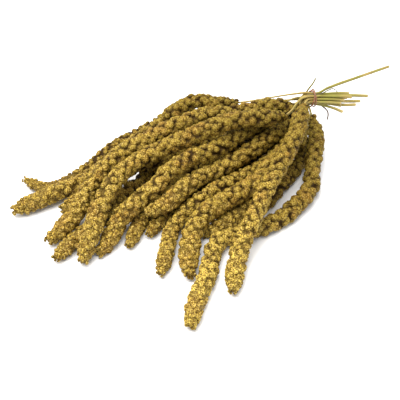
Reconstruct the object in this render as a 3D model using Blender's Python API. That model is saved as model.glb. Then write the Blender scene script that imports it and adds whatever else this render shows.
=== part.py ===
"""A tied bunch of foxtail millet seed heads, laid on its side.

Sixteen heads fan out from a rubber band that holds their bare stalks. Each head is one
solid, a slim core whose surface is raised into seed clusters by a lattice rule. The heads
are first routed by hand, then pushed apart until none of them cross.

Lengths are in millimetres until a mesh or curve is made. +X points along the cut ends of
the stalks and +Z up. The bunch is centred over its own box and stands on z = 0.
"""
import math
import random
from collections import namedtuple

import bmesh
import bpy
import numpy as np
from mathutils import Vector

MM = 0.001

# Stalks and the tie
STALK_RADIUS = 1.4
STALK_FLARE = 0.35
STALK_SLIM = 0.25
TAPER_RUN = 30.0
TIE = np.array([0.0, 0.0, 48.0])
TIE_TURN = math.radians(-22)
TIE_DIP = math.radians(-11)
SEAT_PITCH = 3.3
SEAT_ROWS = {2: 3, 1: 4, 0: 5, -1: 4, -2: 3}
TIE_GRIP = 8.0
HELD_HALF_WIDTH = 5.5

# Rubber band, one loop wound twice
BAND_RADIUS = 0.9
BAND_ROOM = 0.6
BAND_SPREAD = 2.6
BAND_LIFT = 2.3
BAND_LIFT_WIDTH = 1.0
BAND_POINTS = 44

# Seed clusters
ROW_STEP = 7.35
VALLEY = 0.70
PEAK_DRAW = 0.05
VALLEY_DRAW = 0.04
AXIAL_DRAW = 0.7
SETTLE = 2.2
TIP_POINT = 2.0
THIN_HEAD = 9.2

# Taper of a head, from its base to its tip
BASE_TAPER = 30.0
BASE_SHARE = 0.55
TIP_TAPER = 50.0
TIP_SHARE = 0.87
TIP_ROUND = 18.0
TIP_END = 0.46

# Laying the sprays clear of each other
STALK_STEP = 4.0
HEAD_STEP = 8.0
CLEAR = 0.7
SINK = 0.82
SOFT_ROUNDS = 260
FIRM_ROUNDS = 120
FACE_GAP = 0.3
STRAIGHT_WITHIN = 0.25

# A spray: the head's radius, the stalk's route from its cut end, its seat in the tie (row
# above the middle, place from the -Y side), and the head's route from base to tip.
Spray = namedtuple("Spray", "radius cut seat route")
SPRAYS = {
    "01": Spray(11.0, [(148, 12, 25), (62, 5, 43), (25, 2, 50)], (2, 2),
                [(-82, 46, 52), (-106, 54, 56), (-122, 68, 60), (-140, 76, 56), (-154, 84, 44),
                 (-170, 86, 34), (-196, 94, 20), (-264, 86, 10), (-322, 84, 12), (-372, 88, 10)]),
    "02": Spray(8.0, [(30, -7, 40)], (-1, 3),
                [(-104, 68, 32), (-124, 86, 28), (-146, 104, 20), (-180, 114, 12),
                 (-222, 112, 8), (-268, 96, 8), (-302, 88, 8), (-322, 98, 8), (-332, 122, 8)]),
    "03": Spray(11.5, [(70, -27, 36)], (1, 2),
                [(-26, -2, 46), (-44, 8, 48), (-68, 18, 50), (-96, 28, 54), (-136, 42, 60),
                 (-174, 46, 60), (-206, 54, 50), (-254, 56, 38), (-284, 52, 28), (-310, 38, 20),
                 (-334, 26, 12), (-366, 22, 10)]),
    "04": Spray(10.5, [(50, -14, 41)], (1, 3),
                [(-30, 4, 34), (-64, 10, 34), (-96, 20, 30), (-132, 28, 24), (-168, 38, 16),
                 (-208, 44, 12), (-258, 56, 12), (-296, 56, 10), (-328, 56, 10)]),
    "05": Spray(10.0, [(35, -10, 41)], (0, 3),
                [(-106, 34, 20), (-156, 48, 16), (-202, 52, 12), (-248, 40, 10), (-288, 22, 10),
                 (-322, 10, 10), (-350, 4, 10), (-374, -4, 8)]),
    "06": Spray(12.0, [(45, -23, 43)], (2, 0),
                [(-62, -20, 58), (-114, -4, 60), (-162, 10, 60), (-202, 22, 56), (-234, 34, 48),
                 (-264, 32, 42), (-288, 22, 34), (-308, 12, 24), (-328, -6, 16), (-354, -26, 8)]),
    "07": Spray(11.4, [(41, -20, 42)], (1, 1),
                [(-56, -16, 42), (-106, -16, 42), (-154, -14, 44), (-192, -6, 50),
                 (-218, -6, 46), (-242, -12, 38), (-268, -10, 28), (-292, -10, 20),
                 (-314, -16, 12), (-334, -24, 8)]),
    "08": Spray(11.2, [(56, -28, 35)], (0, 1),
                [(-38, -10, 30), (-96, -22, 32), (-146, -22, 34), (-190, -22, 32),
                 (-228, -32, 28), (-262, -22, 26)]),
    "09": Spray(9.5, [(29, -13, 42)], (0, 2),
                [(-68, 14, 12), (-98, 18, 10), (-136, 18, 10), (-176, 18, 10), (-212, 8, 10),
                 (-246, 0, 8), (-276, -18, 8), (-300, -36, 8)]),
    "10": Spray(9.8, [(30, -14, 36)], (-2, 2),
                [(-26, -2, 24), (-78, -18, 28), (-122, -28, 30), (-162, -34, 30),
                 (-192, -38, 28), (-218, -40, 24), (-240, -44, 18), (-258, -54, 12),
                 (-276, -72, 10), (-298, -92, 8)]),
    "11": Spray(9.5, [(48, -29, 34)], (-1, 1),
                [(-84, -26, 12), (-132, -32, 10), (-172, -42, 8), (-206, -50, 8)]),
    "12": Spray(12.7, [(29, -20, 41)], (0, 0),
                [(-36, -16, 38), (-74, -38, 42), (-106, -52, 38), (-142, -64, 30),
                 (-170, -66, 24), (-198, -64, 18), (-218, -62, 14), (-238, -72, 12),
                 (-258, -92, 12), (-276, -114, 10)]),
    "13": Spray(9.8, [(30, -21, 38)], (-1, 0),
                [(-26, -8, 20), (-38, -26, 12), (-58, -48, 10), (-80, -58, 10), (-106, -66, 10),
                 (-130, -72, 10), (-154, -72, 8), (-174, -68, 8), (-200, -68, 10),
                 (-224, -70, 8)]),
    "14": Spray(11.5, [(25, -30, 34), (17, -15, 38)], (-2, 0),
                [(-12, -14, 32), (-28, -32, 28), (-48, -52, 24), (-64, -68, 16), (-82, -90, 12),
                 (-104, -100, 10), (-138, -108, 10), (-172, -106, 10), (-196, -100, 10),
                 (-214, -94, 10), (-234, -100, 10), (-264, -126, 10), (-296, -150, 10),
                 (-318, -170, 8)]),
    "15": Spray(11.5, [(34, -21, 42)], (1, 0),
                [(-26, -12, 50), (-56, -36, 54), (-86, -58, 54), (-112, -70, 50),
                 (-138, -80, 42), (-164, -94, 36), (-186, -108, 28), (-208, -118, 20),
                 (-228, -134, 12), (-254, -160, 10)]),
    "16": Spray(9.5, [(27, -12, 39)], (-1, 2),
                [(-48, -2, 14), (-84, -6, 12), (-128, -8, 10), (-174, -14, 8), (-216, -16, 8),
                 (-246, -24, 8), (-272, -36, 8)]),
}

# A thin dry bit caught in the tie: its radius, its seat, the side on which it leaves the tie
# (1 for the cut side) and its route there.
Trim = namedtuple("Trim", "radius seat side route")
TRIMS = {
    "dry_sprig": Trim(1.1, (0, 4), -1, [(-1, 9, 52), (2, 8, 58), (6, 6, 65), (9, 5, 72)]),
    "dry_curl": Trim(1.0, (-2, 1), 1, [(8, -5, 38), (14, -10, 33), (17, -13, 27), (16, -14, 17)]),
    "dry_wisp": Trim(0.75, (2, 1), 1, [(12, -3, 52), (19, -5, 54), (27, -9, 56), (31, -12, 51)]),
}

# Colours: base colour, roughness
FINISHES = {
    "seed": ((0.47, 0.34, 0.09), 0.75),
    "straw": ((0.60, 0.50, 0.20), 0.60),
    "dry": ((0.42, 0.32, 0.20), 0.70),
    "rubber": ((0.66, 0.42, 0.38), 0.50),
}

Chain = namedtuple("Chain", "name points reach fixed base")


def tie_frame():
    """The way the stalks pass through the tie, and the two directions across it."""
    flat = math.cos(TIE_DIP)
    way = np.array([flat * math.cos(TIE_TURN), flat * math.sin(TIE_TURN), math.sin(TIE_DIP)])
    across = np.array([-math.sin(TIE_TURN), math.cos(TIE_TURN), 0.0])
    return way, across, np.cross(way, across)


def seat_point(seat):
    """Where a stalk passes through the tie."""
    row, place = seat
    way, across, up = tie_frame()
    off = (place - (SEAT_ROWS[row] - 1) / 2) * SEAT_PITCH
    return TIE + across * off + up * row * SEAT_PITCH * math.sqrt(0.75)


def hold_in_seat(points, seat, count):
    """Which of the first points the tie holds, moved onto the straight line of their seat."""
    way = tie_frame()[0]
    ahead = (points - seat) @ way
    held = np.abs(ahead) < HELD_HALF_WIDTH
    held[count:] = False
    points[held] = seat + ahead[held, None] * way
    return held


def smooth_curve(guide, parts=24):
    """A fine curve through the guide points, with no overshoot where they are close."""
    guide = np.asarray(guide, float)
    gaps = np.linalg.norm(np.diff(guide, axis=0), axis=1)[:, None]
    ways = np.diff(guide, axis=0) / gaps
    between = (ways[:-1] * gaps[1:] + ways[1:] * gaps[:-1]) / (gaps[:-1] + gaps[1:])
    ways = np.vstack([ways[:1], between, ways[-1:]])
    t = np.linspace(0, 1, parts, endpoint=False)[:, None]
    fine = []
    for k, gap in enumerate(gaps):
        ends = (2 * t ** 3 - 3 * t ** 2 + 1) * guide[k] + (3 * t ** 2 - 2 * t ** 3) * guide[k + 1]
        lean = (t ** 3 - 2 * t ** 2 + t) * ways[k] + (t ** 3 - t ** 2) * ways[k + 1]
        fine.append(ends + lean * gap)
    return np.vstack([*fine, guide[-1:]])


def run_lengths(points):
    """The distance along a line at each of its points."""
    steps = np.linalg.norm(np.diff(points, axis=0), axis=1)
    return np.concatenate([[0.0], np.cumsum(steps)])


def along(points, places):
    """Points of a line at the given distances from its start."""
    run = run_lengths(points)
    return np.stack([np.interp(places, run, points[:, k]) for k in range(3)], axis=1)


def head_reach(place, length, radius):
    """The outer radius of a head at a distance from its base."""
    base = np.clip(place / BASE_TAPER, 0, 1)
    taper = np.clip((length - place) / TIP_TAPER, 0, 1)
    close = np.clip((length - place) / TIP_ROUND, 0, 1)
    reach = radius * (BASE_SHARE + (1 - BASE_SHARE) * np.sin(base * math.pi / 2))
    reach = reach * (TIP_SHARE + (1 - TIP_SHARE) * np.sin(taper * math.pi / 2))
    return reach * (TIP_END + (1 - TIP_END) * np.sqrt(close))


def stalk_reach(past_tie):
    """The radius of a stalk at a distance past the tie, which is less than 0 on its cut side."""
    flare = np.clip((-past_tie - TIE_GRIP) / TAPER_RUN, 0, 1)
    slim = np.clip((past_tie - TIE_GRIP) / TAPER_RUN, 0, 1)
    return STALK_RADIUS * (1 + STALK_FLARE * flare - STALK_SLIM * slim)


def spray_chain(name, spray):
    """The spray's centre line from cut end to tip, with the room that each point needs."""
    seat = seat_point(spray.seat)
    grip = TIE_GRIP * tie_frame()[0]
    line = smooth_curve([*spray.cut, seat + grip, seat, seat - grip, *spray.route])
    run = run_lengths(line)
    base_at = run[np.argmin(np.linalg.norm(line - np.array(spray.route[0]), axis=1))]
    stalk_count = round(base_at / STALK_STEP)
    head_count = round((run[-1] - base_at) / HEAD_STEP)
    stalk_places = np.linspace(0, base_at, stalk_count, endpoint=False)
    head_places = np.linspace(base_at, run[-1], head_count + 1)
    points = along(line, np.concatenate([stalk_places, head_places]))
    head = head_reach(head_places - base_at, run[-1] - base_at, spray.radius)
    seat_at = run[np.argmin(np.linalg.norm(line - seat, axis=1))]
    reach = np.concatenate([stalk_reach(stalk_places - seat_at), head])
    fixed = hold_in_seat(points, seat, stalk_count)
    return Chain(name, points, reach, fixed, stalk_count)


def trim_chain(name, trim):
    """The centre line of a thin dry bit, from inside the bundle to its free end."""
    seat = seat_point(trim.seat)
    grip = TIE_GRIP * tie_frame()[0] * trim.side
    line = smooth_curve([seat - grip, seat, seat + grip / 2, *trim.route])
    run = run_lengths(line)
    count = round(run[-1] / STALK_STEP)
    points = along(line, np.linspace(0, run[-1], count + 1))
    fixed = hold_in_seat(points, seat, round(TIE_GRIP / STALK_STEP) + 2)
    return Chain(name, points, np.full(count + 1, trim.radius), fixed, count + 1)


def closest_points(a0, a1, b0, b1):
    """For pairs of segments, the share along each and the vector from b's point to a's."""
    way_a, way_b, apart = a1 - a0, b1 - b0, a0 - b0
    aa, bb, ab = (way_a ** 2).sum(1), (way_b ** 2).sum(1), (way_a * way_b).sum(1)
    to_a, to_b = (way_a * apart).sum(1), (way_b * apart).sum(1)
    spread = aa * bb - ab * ab
    crossing = spread > 1e-9
    share_a = (ab * to_b - to_a * bb) / np.where(crossing, spread, 1)
    share_a = np.where(crossing, np.clip(share_a, 0, 1), 0.5)
    free_b = (ab * share_a + to_b) / bb
    share_b = np.clip(free_b, 0, 1)
    held_a = np.clip((ab * share_b - to_a) / aa, 0, 1)
    share_a = np.where(free_b != share_b, held_a, share_a)
    gap = a0 + way_a * share_a[:, None] - b0 - way_b * share_b[:, None]
    return share_a, share_b, gap


def push_apart(points, reach, free, pairs):
    """Move the ends of every pair of segments that are too close."""
    first, second = pairs
    share_a, share_b, gap = closest_points(points[first], points[first + 1],
                                           points[second], points[second + 1])
    apart = np.linalg.norm(gap, axis=1)
    need = reach[first] * (1 - share_a) + reach[first + 1] * share_a + CLEAR
    need += reach[second] * (1 - share_b) + reach[second + 1] * share_b
    near = apart < need
    way = gap[near] / np.maximum(apart[near], 1e-6)[:, None]
    push = 0.6 * (need[near] - apart[near])
    move = np.zeros_like(points)
    weight = np.zeros(len(points))
    for end, share, sign in ((first, 1 - share_a, 1), (first + 1, share_a, 1),
                             (second, 1 - share_b, -1), (second + 1, share_b, -1)):
        np.add.at(move, end[near], sign * way * (push * share[near])[:, None])
        np.add.at(weight, end[near], share[near])
    return points + move / np.maximum(weight, 1.0)[:, None] * free


def keep_lengths(points, segments, rest, free):
    """Bring every segment back to its own length."""
    way = points[segments + 1] - points[segments]
    length = np.linalg.norm(way, axis=1)
    share = way * ((length - rest) / length * 0.5)[:, None]
    move = np.zeros_like(points)
    np.add.at(move, segments, share)
    np.add.at(move, segments + 1, -share)
    return points + move * free


def lay_clear(chains):
    """Push the chains apart until none cross, keeping their curves, lengths and the floor."""
    points = np.vstack([chain.points for chain in chains])
    reach = np.concatenate([chain.reach for chain in chains])
    free = np.where(np.concatenate([chain.fixed for chain in chains]), 0.0, 1.0)[:, None]
    owner = np.concatenate([np.full(len(c.points), k) for k, c in enumerate(chains)])
    segments = np.flatnonzero(owner[:-1] == owner[1:])
    inner = np.flatnonzero(owner[:-2] == owner[2:]) + 1
    rest = np.linalg.norm(points[segments + 1] - points[segments], axis=1)
    start = points.copy()
    curl = start[inner - 1] + start[inner + 1] - 2 * start[inner]
    one, two = np.triu_indices(len(segments), 1)
    differ = owner[segments[one]] != owner[segments[two]]
    one, two = segments[one[differ]], segments[two[differ]]
    span = reach[one] + reach[two] + 2 * HEAD_STEP
    for turn in range(SOFT_ROUNDS + FIRM_ROUNDS):
        if turn % 10 == 0:
            near = np.linalg.norm(points[one] - points[two], axis=1) < span
            pairs = one[near], two[near]
        points = push_apart(points, reach, free, pairs)
        if turn < SOFT_ROUNDS:
            bend = points[inner - 1] + points[inner + 1] - 2 * points[inner] - curl
            points[inner] += 0.25 * bend * free[inner]
            points += 0.01 * (start - points) * free
        for _ in range(2):
            points = keep_lengths(points, segments, rest, free)
        points[:, 2] = np.maximum(points[:, 2], reach * SINK)
    return {chain.name: points[owner == k] for k, chain in enumerate(chains)}


def drop_straight(points, within):
    """Leave out the points that the line passes closely enough without them."""
    if len(points) < 3:
        return points
    way = points[-1] - points[0]
    share = (points - points[0]) @ way / (way @ way)
    off = np.linalg.norm(points - points[0] - share[:, None] * way, axis=1)
    worst = int(np.argmax(off))
    if off[worst] < within:
        return points[[0, -1]]
    head = drop_straight(points[:worst + 1], within)
    return np.vstack([head[:-1], drop_straight(points[worst:], within)])


def ring_frames(points):
    """Two directions across the line at each point, carried along without twist."""
    ways = np.gradient(points, axis=0)
    ways /= np.linalg.norm(ways, axis=1)[:, None]
    side = np.cross(ways[0], (0.0, 0.0, 1.0))
    sides = []
    for way in ways:
        side = side - way * (side @ way)
        side = side / np.linalg.norm(side)
        sides.append(side)
    sides = np.array(sides)
    return sides, np.cross(ways, sides)


def make_material(finish):
    colour, roughness = FINISHES[finish]
    material = bpy.data.materials.new(finish)
    material.use_nodes = True
    shader = material.node_tree.nodes["Principled BSDF"]
    shader.inputs["Base Color"].default_value = (*colour, 1.0)
    shader.inputs["Roughness"].default_value = roughness
    return material


def add_object(name, data, material, collection, parent):
    data.materials.append(material)
    thing = bpy.data.objects.new(name, data)
    thing.parent = parent
    collection.objects.link(thing)
    return thing


def head_mesh(name, line, radius, seed):
    """A loft on a triangular lattice: every third point is a cluster's peak, and the six
    points round it are the valley between clusters."""
    draw = random.Random(seed)
    around = 9 if radius < THIN_HEAD else 12
    length = run_lengths(line)[-1]
    rows = round((length - TIP_POINT) / ROW_STEP) + 1
    places = np.linspace(0, length - TIP_POINT, rows)
    centres = along(line, places)
    sides, ups = ring_frames(centres)
    reach = head_reach(places, length, radius)
    turn = draw.random() * math.tau
    mesh = bmesh.new()
    rings = []
    for j in range(rows):
        ring = []
        for i in range(around):
            angle = turn + (i + j / 2) * math.tau / around
            peak = (i - j) % 3 == 0
            out = 1 - PEAK_DRAW * draw.random() if peak else VALLEY
            out += 0 if peak else VALLEY_DRAW * draw.uniform(-1, 1)
            slide = AXIAL_DRAW * draw.uniform(-1, 1) if 0 < j < rows - 1 else 0
            across = sides[j] * math.cos(angle) + ups[j] * math.sin(angle)
            way = np.cross(sides[j], ups[j])
            point = centres[j] + across * reach[j] * out + way * slide
            if point[2] < SETTLE:
                point[2] = 0.0
            ring.append(mesh.verts.new(point * MM))
        rings.append(ring)
    for low, high in zip(rings[:-1], rings[1:]):
        for i in range(around):
            after = (i + 1) % around
            mesh.faces.new((low[i], low[after], high[i]))
            mesh.faces.new((low[after], high[after], high[i]))
    base = mesh.verts.new(centres[0] * MM)
    tip = mesh.verts.new(line[-1] * MM)
    for i in range(around):
        after = (i + 1) % around
        mesh.faces.new((base, rings[0][after], rings[0][i]))
        mesh.faces.new((tip, rings[-1][i], rings[-1][after]))
    bmesh.ops.recalc_face_normals(mesh, faces=mesh.faces)
    data = bpy.data.meshes.new(name)
    mesh.to_mesh(data)
    mesh.free()
    return data


def tube_curve(name, points, closed=False):
    """A round tube along the points, with flat ends. A point is its place and its radius."""
    curve = bpy.data.curves.new(name, "CURVE")
    curve.dimensions = "3D"
    curve.bevel_depth = MM
    curve.bevel_resolution = 1
    curve.use_fill_caps = not closed
    spline = curve.splines.new("POLY")
    spline.points.add(len(points) - 1)
    for handle, point in zip(spline.points, points):
        handle.co = (*(point[:3] * MM), 1.0)
        handle.radius = point[3]
    spline.use_cyclic_u = closed
    return curve


def band_points():
    """The band's centre line: two turns side by side that change places once, on top."""
    bundle = 2 * SEAT_PITCH + STALK_RADIUS
    hug = bundle + BAND_RADIUS + BAND_ROOM
    way, across, up = tie_frame()
    points = []
    for k in range(BAND_POINTS):
        turn = 2 * math.tau * k / BAND_POINTS
        past_top = (turn - math.pi) / BAND_LIFT_WIDTH
        out = hug + BAND_LIFT * math.exp(-past_top ** 2)
        angle = turn - math.pi / 2
        ring = across * math.cos(angle) + up * math.sin(angle)
        place = TIE + ring * out + way * BAND_SPREAD * math.cos(turn / 2)
        points.append((*place, BAND_RADIUS))
    return np.array(points)


def stalk_line(chain, line):
    """The bare part of a spray, which stops just short of its head's base."""
    base, after = line[chain.base:chain.base + 2]
    way = (after - base) / np.linalg.norm(after - base)
    thin = chain.reach[chain.base - 1]
    ends = [(*(base - way * gap), thin) for gap in (STALK_STEP, FACE_GAP)]
    bare = np.column_stack([line, chain.reach])[:chain.base - 1]
    return np.vstack([drop_straight(bare, STRAIGHT_WITHIN), ends])


def centre_over_box(root, collection):
    """Move the bunch so that its box stands on z = 0, centred over the origin."""
    bpy.context.view_layer.update()
    graph = bpy.context.evaluated_depsgraph_get()
    corners = []
    for thing in collection.objects:
        if thing.type == "EMPTY":
            continue
        mesh = thing.evaluated_get(graph).to_mesh()
        corners += [thing.matrix_world @ vertex.co for vertex in mesh.vertices]
        thing.evaluated_get(graph).to_mesh_clear()
    low = Vector(min(point[k] for point in corners) for k in range(3))
    high = Vector(max(point[k] for point in corners) for k in range(3))
    root.location = (-(low.x + high.x) / 2, -(low.y + high.y) / 2, -low.z)
    bpy.context.view_layer.update()


def main():
    for thing in list(bpy.data.objects):
        bpy.data.objects.remove(thing, do_unlink=True)
    collection = bpy.data.collections.new("tied_millet_bunch")
    bpy.context.scene.collection.children.link(collection)
    root = bpy.data.objects.new("bunch_origin", None)
    collection.objects.link(root)
    materials = {finish: make_material(finish) for finish in FINISHES}

    chains = [spray_chain(name, spray) for name, spray in SPRAYS.items()]
    chains += [trim_chain(name, trim) for name, trim in TRIMS.items()]
    lines = lay_clear(chains)

    for chain in chains:
        line = lines[chain.name]
        if chain.name in TRIMS:
            points = drop_straight(np.column_stack([line, chain.reach]), STRAIGHT_WITHIN)
            curve = tube_curve(chain.name, points)
            add_object(chain.name, curve, materials["dry"], collection, root)
            continue
        spray = SPRAYS[chain.name]
        head = head_mesh("head_" + chain.name, line[chain.base:], spray.radius, int(chain.name))
        add_object("head_" + chain.name, head, materials["seed"], collection, root)
        stalk = tube_curve("stalk_" + chain.name, stalk_line(chain, line))
        add_object("stalk_" + chain.name, stalk, materials["straw"], collection, root)
    band = tube_curve("rubber_band", band_points(), closed=True)
    add_object("rubber_band", band, materials["rubber"], collection, root)
    centre_over_box(root, collection)


main()
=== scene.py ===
"""The looks of a tied bunch of foxtail millet seed heads, laid on its side.

Each head, stalk, dry bit and the rubber band is built again in finer detail on the lines of
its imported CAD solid. A head is a slim core that carries a ball of seeds at each peak of the
solid's lattice, with smaller balls of seeds in the valleys between them.

Everything is in the frame of the CAD. Sizes are in millimetres until a mesh is made, and the
places of floor, light and camera are in metres.
"""
import math
from collections import namedtuple

import bmesh
import bpy
import numpy as np
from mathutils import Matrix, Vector


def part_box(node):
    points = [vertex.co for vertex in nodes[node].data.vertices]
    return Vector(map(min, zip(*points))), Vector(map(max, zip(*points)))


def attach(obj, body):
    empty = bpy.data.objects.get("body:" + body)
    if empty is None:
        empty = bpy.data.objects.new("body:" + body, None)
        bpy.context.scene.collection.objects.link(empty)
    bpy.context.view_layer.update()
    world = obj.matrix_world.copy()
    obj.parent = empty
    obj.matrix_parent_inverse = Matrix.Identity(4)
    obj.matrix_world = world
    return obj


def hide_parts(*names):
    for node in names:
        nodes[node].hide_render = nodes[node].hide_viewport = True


MM = 0.001

# Balls of seeds. Each kind is made on a ball of radius 1 and placed many times.
BALL_KINDS = 6
BALL_DRAW = 7
BIG_SEEDS = 56
SMALL_SEEDS = 28
GOLDEN_TURN = math.pi * (3 - math.sqrt(5))
SEED_JITTER = 0.28
GROOVE = 0.89
BALL_CUT = -0.22
BALL_BOTTOM = -0.6
DENT_WAVES = 4
DENT_PITCH = 1.6
DENT_DEPTH = 0.045
SKEW_WAY = (0.31, 0.42, 0.85)

# Where the balls sit. The reach of a head at a ring is how far its peaks are from its middle,
# and shares are parts of that reach. The first value of a pair is for most of the head, the
# second for its tip, where the balls run together.
LATTICE_LINKS = 6
POINTS_PER_PEAK = 3
BIG_SHARE = (0.50, 0.38)
SMALL_SHARE = (0.41, 0.33)
SIZE_DRAW = (0.16, 0.06)
BIG_DEPTH = (0.15, 0.03)
SMALL_DEPTH = (0.24, 0.05)
REACH_GAIN = 1.04
SIDE_DRAW = (0.15, 0.12)
ROW_DRAW = (1.5, 1.3)
SMALL_SHIFT = 3.4
SMALL_CHANCE = (0.60, 0.9)

# The tip of a head starts to differ this far from its end, and differs fully after the blend.
TIP_RUN = 95.0
TIP_BLEND = 55.0
TIP_BALLS = 15
TIP_BALL_SHARE = 0.44
TIP_SIZE_DRAW = 0.1

# The core under the balls
CORE_SHARE = (0.60, 0.82)
CORE_SIDES = 10
CORE_LUMP = 0.5
NECK_RADIUS = 1.3

# Stalks, dry bits and the band. A stalk's cut face is what lies less than CUT_DEPTH from its
# cut end.
CAD_TUBE_SIDES = 6
CURVE_CUTS = 12
STALK_STEP = 2.0
STALK_SIDES = 12
CUT_DEPTH = 0.1
TRIM_STEP = 1.0
TRIM_SIDES = 8
TRIM_TAPER = 0.2
BAND_STEP = 0.5
BAND_SIDES = 12

# How bright each head's tip is beside the others: partly the head's own tone, partly painted
# shade that makes the heads lying low in the bunch darker
HEAD_TINTS_AND_SHADE = {"14": 1.05, "15": 0.95, "13": 0.7, "12": 0.45, "07": 0.6, "06": 0.6, "03": 0.5,
              "01": 0.45, "04": 0.4, "08": 0.55, "10": 0.6, "02": 0.35, "05": 0.3, "09": 0.4,
              "11": 0.3, "16": 0.2}

# Seed colours, as red, green and blue on a screen
SEED_OLIVE = (144, 125, 48)
SEED_TAN = (168, 142, 52)
SEED_GOLD = (196, 164, 66)
SEED_BRIGHT = (254, 220, 102)
SEED_WARM = (176, 122, 52)
SEED_DULL = (118, 104, 34)
SEED_PALE = (232, 204, 122)
SEED_BROWN = (112, 74, 24)
# Painted shade in the grooves between the grains
SEED_GROOVE_SHADE = (88, 62, 14)
# Painted shade at the feet of the balls and on the core deep in the head
SEED_DEEP_SHADE = (52, 35, 6)

# Where each change of the seeds starts and ends along a head, from 0 at its base to 1 at its tip
TAN_RUN = (0.0, 0.45)
GOLD_RUN = (0.35, 0.95)
SPECKLE_RUN = (-0.1, 1.1)
# Towards the tip the painted shade between the balls fades out over OPEN_RUN
OPEN_RUN = (0.62, 1.10)

# Seed patterns and painted shade: the values between which each one grows from nothing to its
# full strength
WARM_RANGE = (0.52, 0.70)
PALE_RANGE = (0.5, 1.1)
BROWN_RANGE = (0.6, 1.1)
# RIM and HUSK lay painted shade in the grooves between the grains
RIM_RANGE = (0.74, 0.34)
HUSK_RANGE = (-1.5, 0.5)
# CROWN and HEIGHT lay painted shade at the feet of the balls and deep in the head, so each ball's
# top is lighter
CROWN_RANGE = (0.12, 0.80)
HEIGHT_RANGE = (0.55, 0.86)
BRIGHT_SHARE = 0.9
WARM_SHARE = 0.5
WARM_SCALE = 45.0
DULL_SHARE = 0.35
SEEDS_PER_METRE = 700.0
SEED_BUMP = (0.7, 0.0005)
SEED_SHINE = 0.12
SEED_ROUGHNESS = 0.6

# Straw: its light, dark and fibre colours and its roughness
STRAW_LOOK = ((180, 156, 90), (138, 134, 58), (110, 94, 42), 0.55)
DRY_LOOKS = {
    "dry_sprig": ((126, 116, 40), (104, 100, 36), (84, 74, 26), 0.6),
    "dry_curl": ((112, 84, 66), (96, 70, 58), (70, 50, 42), 0.65),
    "dry_wisp": ((116, 110, 76), (92, 92, 62), (70, 66, 46), 0.65),
}
STRETCH_SCALE = 26.0
STRETCH_RANGE = (0.40, 0.62)
FIBRE_SCALE = 3.0
FIBRE_ALONG = 0.02
FIBRE_AROUND = 9.0
FIBRE_RANGE = (0.42, 0.62)
FIBRE_SHARE = 0.75
NEAR_CUT_RUN = (22.0, 0.0)
NEAR_CUT_SHARE = 0.3
NEAR_CUT_COLOUR = (186, 158, 104)
CUT_COLOUR = (198, 172, 122)
STRAW_BUMP = (0.6, 0.0003)
STRAW_SHINE = 0.3

# Rubber
RUBBER_LIGHT = (146, 98, 68)
RUBBER_DARK = (120, 78, 52)
RUBBER_SCALE = 160.0
RUBBER_RANGE = (0.4, 0.65)
RUBBER_GRAIN = 900.0
RUBBER_BUMP = (0.2, 0.0002)
RUBBER_GLOW = 0.15
RUBBER_GLOW_DEPTH = 0.001
RUBBER_ROUGHNESS = 0.5

# Studio
FLOOR_HALF = 6.0
FLOOR_DROP = 0.0002
FLOOR_COLOUR = (240, 240, 241)
FLOOR_ROUGHNESS = 0.9
SKY_COLOUR = (0.95, 0.97, 1.0, 1.0)
SKY_STRENGTH = 0.8
LIGHT_PLACE = (-0.35, 0.2, 1.5)
LIGHT_SIZE = 1.8
LIGHT_POWER = 62.0
LIGHT_COLOUR = (1.0, 0.985, 0.95)

# Camera
CAMERA_PLACE = (-0.6543, -0.7371, 0.846)
CAMERA_TURN = math.radians(-38)
CAMERA_TILT = math.radians(42)
CAMERA_LENS = 98.1
CAMERA_SENSOR = 36
CAMERA_NEAR = 0.05

# The colour sockets of a mix node, and how fine each noise is
MIX_ONE, MIX_TWO, MIX_RESULT = 6, 7, 2
NOISE_DETAIL = 2.0

# A mesh to be: its points, its triangles, and values at each point that the materials read
Block = namedtuple("Block", "points faces looks")

# The spot of one ball of seeds: its middle, the way out of the head, its radius, the head's
# reach and middle there, and how far along the head it is
Spot = namedtuple("Spot", "place outward radius reach core along")


def rgb(red, green, blue):
    """A colour given as on a screen, by the sRGB curve, as the linear colour of shaders."""
    channels = np.array([red, green, blue]) / 255
    low = channels / 12.92
    high = ((channels + 0.055) / 1.055) ** 2.4
    return (*np.where(channels < 0.04, low, high), 1.0)


def unit(ways):
    """Ways of any length, as ways of length 1."""
    return ways / np.linalg.norm(ways, axis=-1, keepdims=True)


def blend(pair, share):
    """The value that lies a share of the way from the first to the second of a pair."""
    return pair[0] + (pair[1] - pair[0]) * share


def run_lengths(points):
    """The distance along a line at each of its points."""
    steps = np.linalg.norm(np.diff(points, axis=0), axis=1)
    return np.concatenate([[0.0], np.cumsum(steps)])


def smooth_line(guide, step):
    """A curve through the guide points, cut into even steps. Its radius goes along."""
    gaps = np.linalg.norm(np.diff(guide[:, :3], axis=0), axis=1)[:, None]
    ways = np.diff(guide, axis=0) / gaps
    between = (ways[:-1] * gaps[1:] + ways[1:] * gaps[:-1]) / (gaps[:-1] + gaps[1:])
    ways = np.vstack([ways[:1], between, ways[-1:]])
    t = np.linspace(0, 1, CURVE_CUTS, endpoint=False)[:, None]
    fine = []
    for k, gap in enumerate(gaps):
        ends = (2 * t ** 3 - 3 * t ** 2 + 1) * guide[k] + (3 * t ** 2 - 2 * t ** 3) * guide[k + 1]
        lean = (t ** 3 - 2 * t ** 2 + t) * ways[k] + (t ** 3 - t ** 2) * ways[k + 1]
        fine.append(ends + lean * gap)
    fine = np.vstack([*fine, guide[-1:]])
    run = run_lengths(fine[:, :3])
    places = np.linspace(0, run[-1], max(2, round(run[-1] / step)) + 1)
    return np.stack([np.interp(places, run, column) for column in fine.T], axis=1)


def line_frames(points):
    """The way of a line at each point and two directions across it, without twist."""
    ways = unit(np.gradient(points, axis=0))
    side = np.cross(ways[0], (0.0, 0.0, 1.0))
    sides = []
    for way in ways:
        side = unit(side - way * (side @ way))
        sides.append(side)
    sides = np.array(sides)
    return ways, sides, np.cross(ways, sides)


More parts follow.
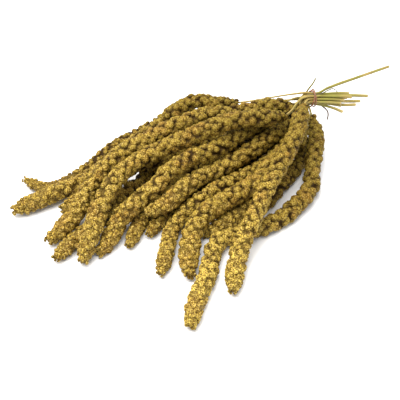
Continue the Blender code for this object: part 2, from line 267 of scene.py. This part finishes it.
def cad_points(node):
    """The corner points of a CAD node, and for each one the points it is joined to."""
    corners = np.array([vertex.co for vertex in node.data.vertices]) / MM
    points, same = np.unique(corners, axis=0, return_inverse=True)
    links = [set() for _ in points]
    for face in node.data.polygons:
        loop = [int(same[k]) for k in face.vertices]
        for one, two in zip(loop, loop[1:] + loop[:1]):
            links[one].add(two)
            links[two].add(one)
    return points, links


def walk_rings(links, ring, done=()):
    """The rings of points of a lofted solid, one after another from the given one.

    They are the lattice's own rings only where its triangles are regular. Where a head lies
    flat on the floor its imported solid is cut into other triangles, and from there on a ring
    can hold points of the next rows too."""
    rings, done = [], set(done)
    while ring:
        rings.append(sorted(ring))
        done |= ring
        ring = set().union(*(links[k] for k in ring)) - done
    return rings


def head_rings(node, tie):
    """A head's rings of lattice points from base to tip, and its tip point.

    The solid closes at each end in a fan round one point, which has more links than a point
    of the lattice. The tip is the one that is farther from the tie."""
    points, links = cad_points(node)
    fans = [k for k, joined in enumerate(links) if len(joined) > LATTICE_LINKS]
    tip = max(fans, key=lambda k: np.linalg.norm(points[k] - tie))
    rings = walk_rings(links, {tip})[:0:-1]
    return [points[ring] for ring in rings], points[tip]


def ring_line(points, rings):
    """The middle of each ring of a tube with its radius as a fourth number."""
    middles = np.array([points[ring].mean(0) for ring in rings])
    radii = [np.linalg.norm(points[ring] - m, axis=1).mean() for ring, m in zip(rings, middles)]
    return np.column_stack([middles, radii])


def tube_line(node):
    """The centre line and radii of an open CAD tube, from the end that is farthest out."""
    points, links = cad_points(node)
    end = points[np.argmax(np.linalg.norm(points - points.mean(0), axis=1))]
    nearest = np.argsort(np.linalg.norm(points - end, axis=1))[:CAD_TUBE_SIDES]
    return ring_line(points, walk_rings(links, set(nearest.tolist())))


def loop_line(node):
    """The centre line and radii of a closed CAD tube, from its lowest point once round."""
    points, links = cad_points(node)
    low = points[np.argmin(points[:, 2])]
    first = set(np.argsort(np.linalg.norm(points - low, axis=1))[:CAD_TUBE_SIDES].tolist())
    beside = sorted(set().union(*(links[k] for k in first)) - first)
    middle = points[sorted(first)].mean(0)
    behind = {k for k in beside if points[k, 1] > middle[1]}
    return ring_line(points, walk_rings(links, first, behind) + [sorted(behind)])


def seed_ball(count, draw):
    """A ball of seeds, open to its own -Z side: each seed is a low cone of triangles, with
    its tip on the unit ball and its rim in the groove between it and the next seeds."""
    k = np.arange(count)
    height = 1 - (2 * k + 1) / count
    flat = np.sqrt(1 - height ** 2)
    tips = np.stack([flat * np.cos(k * GOLDEN_TURN), flat * np.sin(k * GOLDEN_TURN), height], 1)
    tips = unit(tips + draw.normal(0, SEED_JITTER / math.sqrt(count), tips.shape))
    hull = bmesh.new()
    for tip in tips:
        hull.verts.new(tip)
    bmesh.ops.convex_hull(hull, input=hull.verts)
    hull.verts.index_update()
    hull.faces.index_update()
    grooves = unit(np.array([face.calc_center_median() for face in hull.faces])) * GROOVE
    points = np.vstack([tips, grooves, [[0.0, 0.0, BALL_BOTTOM]]])
    bottom = len(points) - 1
    faces = []
    for edge in hull.edges:
        one, two = (count + face.index for face in edge.link_faces)
        kept = [vertex.index for vertex in edge.verts if tips[vertex.index, 2] > BALL_CUT]
        faces += [(tip, one, two) for tip in kept]
        if len(kept) == 1:
            faces.append((bottom, one, two))
    hull.free()
    faces = np.array(faces)
    corners = points[faces]
    normals = np.cross(corners[:, 1] - corners[:, 0], corners[:, 2] - corners[:, 0])
    inward = (normals * corners.mean(1)).sum(1) < 0
    faces[inward] = faces[inward][:, ::-1]
    used, faces = np.unique(faces, return_inverse=True)
    husk = np.where(used < count, 1.0, 0.0)
    points = points[used]
    for _ in range(DENT_WAVES):
        wave = draw.normal(0, DENT_PITCH, 3)
        swell = DENT_DEPTH * np.sin(points @ wave + draw.uniform(0, math.tau))
        points = points * (1 + swell[:, None])
    return Block(points, faces.reshape(-1, 3), {"husk": husk})


def place_balls(ball, spots, draw):
    """Copies of one ball of seeds at the given spots, as one block."""
    places, outward, radii, reaches, cores, alongs = map(np.array, zip(*spots))
    spins = draw.uniform(0, math.tau, len(spots))
    lumps = draw.uniform(0, 1, len(spots))
    across = unit(np.cross(outward, SKEW_WAY))
    side = np.cross(outward, across)
    cos, sin = np.cos(spins)[:, None], np.sin(spins)[:, None]
    frames = np.stack([across * cos + side * sin, side * cos - across * sin, outward], axis=1)
    points = np.einsum("vk,nkj->nvj", ball.points, frames) * radii[:, None, None]
    points += places[:, None, :]
    heights = np.linalg.norm(points - cores[:, None, :], axis=2) / reaches[:, None]
    count, size = points.shape[:2]
    faces = ball.faces[None] + (np.arange(count) * size)[:, None, None]
    looks = {
        "husk": np.tile(ball.looks["husk"], count),
        "lump": np.repeat(lumps, size),
        "along": np.repeat(alongs, size),
        "height": heights.reshape(-1),
        "crown": np.tile(ball.points[:, 2], count),
    }
    return Block(points.reshape(-1, 3), faces.reshape(-1, 3), looks)


def loft(points, radii, sides, looks):
    """A closed tube round a line, with a fan of triangles at each end. Its looks are one
    value for each point of the line, and it gets its turn round the line as one more."""
    _, across, up = line_frames(points)
    turns = (np.arange(sides) * math.tau / sides)[None, :, None]
    rings = across[:, None] * np.cos(turns) + up[:, None] * np.sin(turns)
    rings = points[:, None] + rings * radii[:, None, None]
    rows = len(points)
    at = np.arange(rows * sides).reshape(rows, sides)
    low, high = at[:-1], at[1:]
    low_next, high_next = np.roll(low, -1, axis=1), np.roll(high, -1, axis=1)
    walls = [np.stack([low, low_next, high_next], -1), np.stack([low, high_next, high], -1)]
    first, last = rows * sides, rows * sides + 1
    ends = [np.stack([np.roll(at[0], -1), at[0], np.full(sides, first)], -1),
            np.stack([at[-1], np.roll(at[-1], -1), np.full(sides, last)], -1)]
    faces = np.vstack([part.reshape(-1, 3) for part in (*walls, *ends)])
    every = np.vstack([rings.reshape(-1, 3), points[:1], points[-1:]])
    grown = {}
    for name, values in looks.items():
        grown[name] = np.concatenate([np.repeat(values, sides), values[:1], values[-1:]])
    grown["turn"] = np.concatenate([np.tile(np.arange(sides) / sides, rows), [0.0, 0.0]])
    return Block(every, faces, grown)


def join_blocks(blocks):
    """Several blocks as one. A look that a block doesn't have is 0 there."""
    names = sorted(set().union(*(block.looks for block in blocks)))
    start, faces = 0, []
    for block in blocks:
        faces.append(block.faces + start)
        start += len(block.points)
    looks = {}
    for name in names:
        looks[name] = np.concatenate([b.looks.get(name, np.zeros(len(b.points))) for b in blocks])
    return Block(np.vstack([b.points for b in blocks]), np.vstack(faces), looks)


def add_piece(name, block, material, stands_for):
    """A shown mesh that replaces a CAD node. It lies on the floor and not under it."""
    points = block.points.copy()
    points[:, 2] = np.maximum(points[:, 2], 0.0)
    mesh = bpy.data.meshes.new(name)
    mesh.from_pydata(points * MM, [], block.faces)
    mesh.update()
    mesh.shade_smooth()
    for look, values in block.looks.items():
        attribute = mesh.attributes.new(look, "FLOAT", "POINT")
        attribute.data.foreach_set("value", values.astype(np.float32))
    mesh.materials.append(material)
    piece = bpy.data.objects.new(name, mesh)
    bpy.context.scene.collection.objects.link(piece)
    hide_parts(stands_for)
    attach(piece, "root")


def ring_spots(ring, middle, way, along, near_tip, draw):
    """The spots of the big and the small balls of one ring, and the head's reach there.

    The farthest third of the ring's points are its peaks, and the reach is their mean. In a
    ring that holds points of the next rows the reach comes out too large. A ring of a single
    point, as at the base of head 11, has no reach, and a ball on it has no finite place."""
    out = ring - middle
    far = np.linalg.norm(out, axis=1)
    peaks = set(np.argsort(-far)[:len(ring) // POINTS_PER_PEAK].tolist())
    reach = np.sort(far)[-len(ring) // POINTS_PER_PEAK:].mean()
    big, small = [], []
    for k, spoke in enumerate(out):
        is_big = k in peaks
        if not is_big and draw.random() > blend(SMALL_CHANCE, near_tip):
            continue
        share = blend(BIG_SHARE if is_big else SMALL_SHARE, near_tip)
        depth = blend(BIG_DEPTH if is_big else SMALL_DEPTH, near_tip)
        radius = reach * share * (1 + blend(SIZE_DRAW, near_tip) * draw.uniform(-1, 1))
        spoke = unit(unit(spoke) + blend(SIDE_DRAW, near_tip) * draw.normal(0, 1, 3))
        spoke = unit(spoke - way * (spoke @ way))
        onward = blend(ROW_DRAW, near_tip) * draw.uniform(-1, 1) + (not is_big) * SMALL_SHIFT
        top = reach * (REACH_GAIN - depth * draw.random())
        place = middle + spoke * (top - radius) + way * onward
        spots = big if is_big else small
        spots.append(Spot(place, spoke, radius, reach, middle, along))
    return big, small, reach


def tip_spots(ring, middle, tip, reach, draw):
    """The spots of the small balls that close a head over its last ring."""
    ahead = tip - middle
    side = unit(ring[0] - middle)
    up = np.cross(unit(ahead), side)
    spots = []
    for k in range(TIP_BALLS):
        rise = (k + 0.5) / TIP_BALLS
        flat = math.sqrt(1 - rise ** 2)
        turn = k * GOLDEN_TURN
        spoke = (side * math.cos(turn) + up * math.sin(turn)) * flat * reach + ahead * rise
        radius = reach * TIP_BALL_SHARE * (1 + TIP_SIZE_DRAW * draw.uniform(-1, 1))
        far = np.linalg.norm(spoke)
        outward = spoke / far
        spots.append(Spot(middle + spoke - outward * radius, outward, radius, far, middle, 1.0))
    return spots


def head_block(node, tie, big_balls, small_balls, draw):
    """A head: its core, and its balls of seeds round each ring of the lattice."""
    rings, tip = head_rings(node, tie)
    middles = np.array([ring.mean(0) for ring in rings])
    ways, _, _ = line_frames(middles)
    run = run_lengths(np.vstack([middles, tip]))
    share = run / run[-1]
    tip_shares = np.clip((TIP_RUN - (run[-1] - run)) / TIP_BLEND, 0, 1)
    big, small, reaches = [], [], []
    for ring, middle, way, along, near_tip in zip(rings, middles, ways, share, tip_shares):
        ring_big, ring_small, reach = ring_spots(ring, middle, way, along, near_tip, draw)
        big += ring_big
        small += ring_small
        reaches.append(reach)
    small += tip_spots(rings[-1], middles[-1], tip, reaches[-1], draw)
    reaches = np.array(reaches)
    core = reaches * blend(CORE_SHARE, tip_shares[:-1])
    core[0] = NECK_RADIUS
    looks = {"along": share[:-1], "lump": np.full(len(rings), CORE_LUMP),
             "height": core / reaches}
    blocks = [loft(middles, core, CORE_SIDES, looks)]
    for balls, spots in ((big_balls, big), (small_balls, small)):
        kinds = draw.integers(0, len(balls), len(spots))
        for kind, ball in enumerate(balls):
            chosen = [spot for spot, own in zip(spots, kinds) if own == kind]
            if chosen:
                blocks.append(place_balls(ball, chosen, draw))
    return join_blocks(blocks)


def stalk_block(node):
    """A bare stalk, from its cut end, where it is thickest."""
    line = smooth_line(tube_line(node), STALK_STEP)
    if line[0, 0] < line[-1, 0]:
        line = line[::-1]
    run = run_lengths(line[:, :3])
    cut = np.where(run < CUT_DEPTH, 1.0, 0.0)
    return loft(line[:, :3], line[:, 3], STALK_SIDES, {"run": run, "cut": cut})


def trim_block(node, tie):
    """A thin dry bit that tapers from the tie to its free end."""
    line = smooth_line(tube_line(node), TRIM_STEP)
    if np.linalg.norm(line[0, :3] - tie) > np.linalg.norm(line[-1, :3] - tie):
        line = line[::-1]
    run = run_lengths(line[:, :3])
    radii = line[:, 3] * (1 - TRIM_TAPER * (run / run[-1]) ** 2)
    return loft(line[:, :3], radii, TRIM_SIDES, {"run": run})


def band_block(node):
    """The rubber band, one closed round cord."""
    line = loop_line(node)
    line = smooth_line(np.vstack([line, line[:1]]), BAND_STEP)
    return loft(line[:, :3], line[:, 3], BAND_SIDES, {})


class Shader:
    """A material that is put together node by node."""

    def __init__(self, name):
        self.material = bpy.data.materials.new(name)
        self.material.use_nodes = True
        self.tree = self.material.node_tree
        self.surface = self.tree.nodes["Principled BSDF"]

    def add(self, kind, inputs=None, **settings):
        """A new node with its settings, and a value or a link for each named input."""
        node = self.tree.nodes.new(kind)
        for key, value in settings.items():
            setattr(node, key, value)
        for key, value in (inputs or {}).items():
            self.put(node.inputs[key], value)
        return node

    def put(self, socket, value):
        """Links another node's output to a socket, or sets a plain value on it."""
        if isinstance(value, bpy.types.NodeSocket):
            self.tree.links.new(value, socket)
        else:
            socket.default_value = value

    def look(self, name):
        """A value that the mesh carries at its points."""
        return self.add("ShaderNodeAttribute", attribute_name=name).outputs["Fac"]

    def place(self):
        """The place on the piece, in metres."""
        return self.add("ShaderNodeTexCoord").outputs["Object"]

    def noise(self, scale, vector=None):
        """A soft random pattern on the piece, or on another vector where one is given."""
        node = self.add("ShaderNodeTexNoise", {"Vector": vector or self.place(), "Scale": scale,
                                               "Detail": NOISE_DETAIL})
        return node.outputs["Fac"]

    def spread(self, value, ends):
        """The value stretched so that the first of the ends becomes 0 and the second 1."""
        low, high = ends
        node = self.add("ShaderNodeMapRange", {"Value": value, "From Min": low, "From Max": high})
        return node.outputs["Result"]

    def times(self, one, two):
        """The product of two values."""
        return self.add("ShaderNodeMath", {0: one, 1: two}, operation="MULTIPLY").outputs["Value"]

    def larger(self, one, two):
        """The larger of two values."""
        return self.add("ShaderNodeMath", {0: one, 1: two}, operation="MAXIMUM").outputs["Value"]

    def mix(self, share, one, two):
        """One colour turned into the other by a share."""
        inputs = {"Factor": share, MIX_ONE: one, MIX_TWO: two}
        return self.add("ShaderNodeMix", inputs, data_type="RGBA").outputs[MIX_RESULT]

    def bump(self, height, look):
        """Raises the surface by a height, with a strength and a distance in metres."""
        strength, distance = look
        node = self.add("ShaderNodeBump", {"Height": height, "Strength": strength,
                                           "Distance": distance})
        self.put(self.surface.inputs["Normal"], node.outputs["Normal"])

    def finish(self, colour, roughness):
        """The material, with its colour and roughness."""
        self.put(self.surface.inputs["Base Color"], colour)
        self.put(self.surface.inputs["Roughness"], roughness)
        return self.material


def seed_material(name, tint_and_shade):
    """Seeds: olive near the tie, golden to the tip, in grains of random tone. Painted shade turns
    them dark brown in the grooves between the grains and nearly black between the balls, so each
    ball's top is lighter."""
    shader = Shader(name)
    along = shader.look("along")
    base = shader.mix(shader.spread(along, TAN_RUN), rgb(*SEED_OLIVE), rgb(*SEED_TAN))
    gold = shader.spread(along, GOLD_RUN)
    base = shader.mix(gold, base, rgb(*SEED_GOLD))
    # Partly painted shade: the head's tint dims the bright gold of its tip where the head lies
    # low in the bunch
    bright = shader.times(gold, BRIGHT_SHARE * tint_and_shade ** 2)
    base = shader.mix(bright, base, rgb(*SEED_BRIGHT))
    warm = shader.spread(shader.noise(WARM_SCALE), WARM_RANGE)
    base = shader.mix(shader.times(warm, WARM_SHARE), base, rgb(*SEED_WARM))
    dull = shader.times(shader.look("lump"), DULL_SHARE)
    base = shader.mix(dull, base, rgb(*SEED_DULL))

    cells = shader.add("ShaderNodeTexVoronoi", {"Vector": shader.place(),
                                                "Scale": SEEDS_PER_METRE})
    own = shader.add("ShaderNodeSeparateColor", {"Color": cells.outputs["Color"]})
    speckle = shader.spread(along, SPECKLE_RUN)
    for channel, ends, colour in (("Red", PALE_RANGE, SEED_PALE),
                                  ("Green", BROWN_RANGE, SEED_BROWN)):
        some = shader.spread(own.outputs[channel], ends)
        base = shader.mix(shader.times(some, speckle), base, rgb(*colour))
    # Painted shade: the grooves between the grains and between the seeds of a ball turn dark
    # brown
    rim = shader.spread(cells.outputs["Distance"], RIM_RANGE)
    husk = shader.spread(shader.look("husk"), HUSK_RANGE)
    base = shader.mix(shader.times(rim, husk), rgb(*SEED_GROOVE_SHADE), base)

    # Painted shade: low on each ball and deep in the head the seeds turn nearly black, each
    # ball's top stays lighter, and this fades towards the tip
    crown = shader.spread(shader.look("crown"), CROWN_RANGE)
    height = shader.spread(shader.look("height"), HEIGHT_RANGE)
    lit = shader.times(crown, height)
    lit = shader.larger(lit, shader.spread(along, OPEN_RUN))
    colour = shader.mix(lit, rgb(*SEED_DEEP_SHADE), base)
    shader.bump(rim, SEED_BUMP)
    shader.surface.inputs["Specular IOR Level"].default_value = SEED_SHINE
    return shader.finish(colour, SEED_ROUGHNESS)


def straw_material(name, look):
    """A dry stalk: fine lines along it, light and dark stretches, and a pale cut face."""
    light, dark, fibre, roughness = look
    shader = Shader(name)
    run = shader.look("run")
    place = shader.add("ShaderNodeCombineXYZ", {
        "X": shader.times(run, FIBRE_ALONG),
        "Y": shader.times(shader.look("turn"), FIBRE_AROUND)})
    lines = shader.noise(FIBRE_SCALE, place.outputs["Vector"])
    stretch = shader.spread(shader.noise(STRETCH_SCALE), STRETCH_RANGE)
    colour = shader.mix(stretch, rgb(*light), rgb(*dark))
    fibres = shader.times(shader.spread(lines, FIBRE_RANGE), FIBRE_SHARE)
    colour = shader.mix(fibres, colour, rgb(*fibre))
    near_cut = shader.times(shader.spread(run, NEAR_CUT_RUN), NEAR_CUT_SHARE)
    colour = shader.mix(near_cut, colour, rgb(*NEAR_CUT_COLOUR))
    colour = shader.mix(shader.look("cut"), colour, rgb(*CUT_COLOUR))
    shader.bump(lines, STRAW_BUMP)
    shader.surface.inputs["Specular IOR Level"].default_value = STRAW_SHINE
    return shader.finish(colour, roughness)


def rubber_material():
    """Dull, slightly patchy rubber with a fine grain."""
    shader = Shader("band_rubber")
    patch = shader.spread(shader.noise(RUBBER_SCALE), RUBBER_RANGE)
    colour = shader.mix(patch, rgb(*RUBBER_LIGHT), rgb(*RUBBER_DARK))
    shader.bump(shader.noise(RUBBER_GRAIN), RUBBER_BUMP)
    shader.surface.inputs["Subsurface Weight"].default_value = RUBBER_GLOW
    shader.surface.inputs["Subsurface Scale"].default_value = RUBBER_GLOW_DEPTH
    return shader.finish(colour, RUBBER_ROUGHNESS)


def add_floor():
    """A plain white floor just under the bunch."""
    mesh = bpy.data.meshes.new("studio_floor")
    corners = [(-FLOOR_HALF, -FLOOR_HALF, 0), (FLOOR_HALF, -FLOOR_HALF, 0),
               (FLOOR_HALF, FLOOR_HALF, 0), (-FLOOR_HALF, FLOOR_HALF, 0)]
    mesh.from_pydata(corners, [], [(0, 1, 2, 3)])
    shader = Shader("studio_floor")
    mesh.materials.append(shader.finish(rgb(*FLOOR_COLOUR), FLOOR_ROUGHNESS))
    floor = bpy.data.objects.new("studio_floor", mesh)
    floor.location.z = -FLOOR_DROP
    bpy.context.scene.collection.objects.link(floor)


def add_lights():
    """An even white sky and one soft light from above on the left."""
    world = bpy.data.worlds.new("studio_sky")
    world.use_nodes = True
    sky = world.node_tree.nodes["Background"]
    sky.inputs["Color"].default_value = SKY_COLOUR
    sky.inputs["Strength"].default_value = SKY_STRENGTH
    bpy.context.scene.world = world

    light = bpy.data.lights.new("key", "AREA")
    light.size = LIGHT_SIZE
    light.energy = LIGHT_POWER
    light.color = LIGHT_COLOUR
    lamp = bpy.data.objects.new("key", light)
    lamp.location = LIGHT_PLACE
    lamp.rotation_euler = (-Vector(LIGHT_PLACE)).to_track_quat("-Z", "Y").to_euler()
    bpy.context.scene.collection.objects.link(lamp)
    bpy.context.scene.view_settings.view_transform = "Standard"


def add_camera():
    """The camera at the photo's place. Its turn and tilt say from where it looks."""
    camera = bpy.data.cameras.new("camera")
    camera.sensor_width = CAMERA_SENSOR
    camera.lens = CAMERA_LENS
    camera.clip_start = CAMERA_NEAR
    holder = bpy.data.objects.new("camera", camera)
    holder.location = CAMERA_PLACE
    back = Vector((math.sin(CAMERA_TURN) * math.cos(CAMERA_TILT),
                   -math.cos(CAMERA_TURN) * math.cos(CAMERA_TILT), math.sin(CAMERA_TILT)))
    holder.rotation_euler = (-back).to_track_quat("-Z", "Y").to_euler()
    bpy.context.scene.collection.objects.link(holder)
    bpy.context.scene.camera = holder


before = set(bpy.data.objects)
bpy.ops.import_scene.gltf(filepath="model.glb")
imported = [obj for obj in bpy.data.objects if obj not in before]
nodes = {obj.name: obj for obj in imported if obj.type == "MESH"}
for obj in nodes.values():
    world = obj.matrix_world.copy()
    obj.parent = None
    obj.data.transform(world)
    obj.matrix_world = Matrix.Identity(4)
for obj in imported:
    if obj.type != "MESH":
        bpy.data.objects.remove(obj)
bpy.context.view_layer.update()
tie = (np.array(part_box("rubber_band")[0]) + np.array(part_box("rubber_band")[1])) / 2 / MM

ball_draw = np.random.default_rng(BALL_DRAW)
big_kinds = [seed_ball(BIG_SEEDS, ball_draw) for _ in range(BALL_KINDS)]
small_kinds = [seed_ball(SMALL_SEEDS, ball_draw) for _ in range(BALL_KINDS)]
straw = straw_material("straw", STRAW_LOOK)
for number, tint_and_shade in HEAD_TINTS_AND_SHADE.items():
    head = "head_" + number
    draw = np.random.default_rng(int(number))
    block = head_block(nodes[head], tie, big_kinds, small_kinds, draw)
    add_piece("seeds_" + number, block, seed_material("seed_" + number, tint_and_shade), head)
    stalk = "stalk_" + number
    add_piece("straw_" + number, stalk_block(nodes[stalk]), straw, stalk)
for trim, look in DRY_LOOKS.items():
    block = trim_block(nodes[trim], tie)
    add_piece(trim + "_fine", block, straw_material(trim, look), trim)
add_piece("band", band_block(nodes["rubber_band"]), rubber_material(), "rubber_band")

add_floor()
add_lights()
add_camera()
